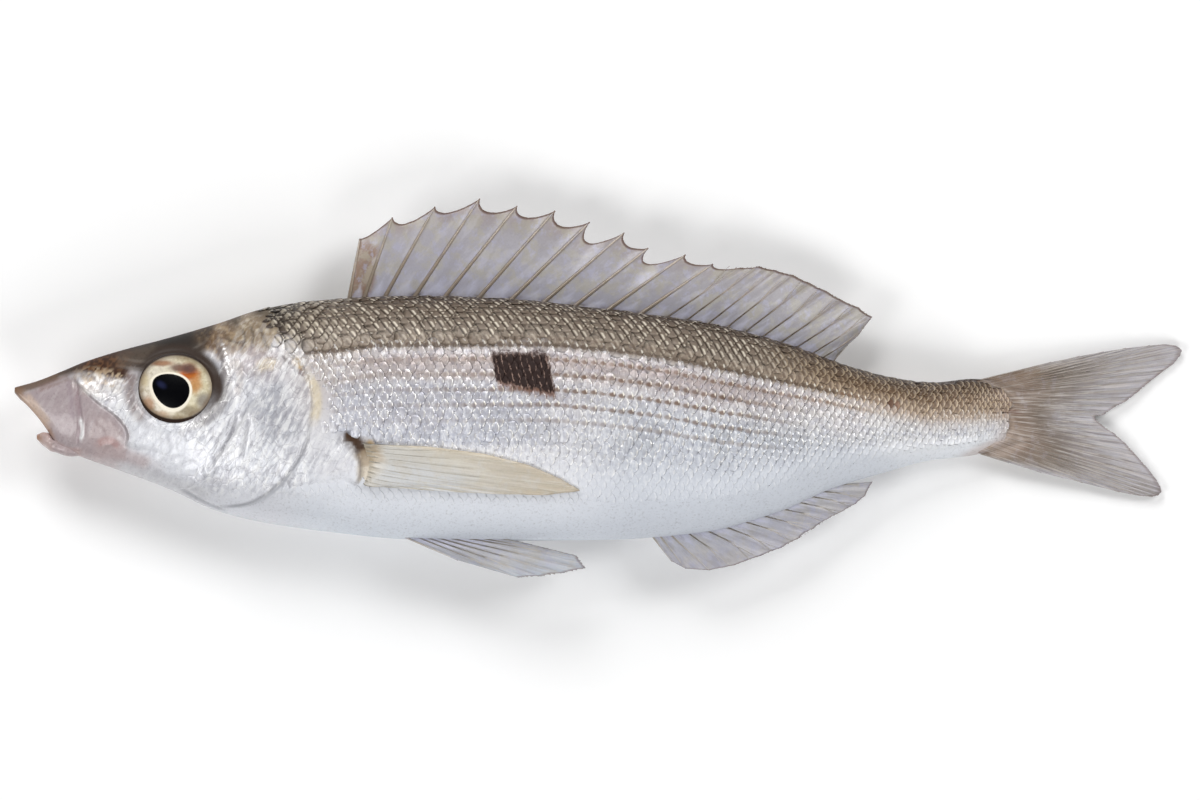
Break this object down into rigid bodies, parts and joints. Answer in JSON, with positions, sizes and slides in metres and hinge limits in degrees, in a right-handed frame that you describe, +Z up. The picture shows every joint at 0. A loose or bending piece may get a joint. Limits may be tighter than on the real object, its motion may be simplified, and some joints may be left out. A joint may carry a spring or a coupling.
{
  "type": "whole raw fish",
  "caption": "Whole raw picarel, a slender small silver sea fish with a dark spot on its flank, lying on its right side with its fins spread.",
  "frame": {"origin": "on the surface under the fish, at the middle of its length and of its height from belly to back", "axes": "+X from the snout to the tail, +Y from the belly to the back, +Z up, out of the left flank, which is the side shown"},
  "size_m": [0.1754, 0.0568, 0.0212],
  "materials": {
    "silver_skin": "wet silvery scaled skin, olive brown on the back and white on the belly, with thin grey fins",
    "eye": "wet clear eye with a pale yellow iris and a black pupil"
  },
  "bodies": {
    "root": {"fish": "silver_skin", "eye_left": "eye", "eye_right": "eye"}
  },
  "joints": []
}
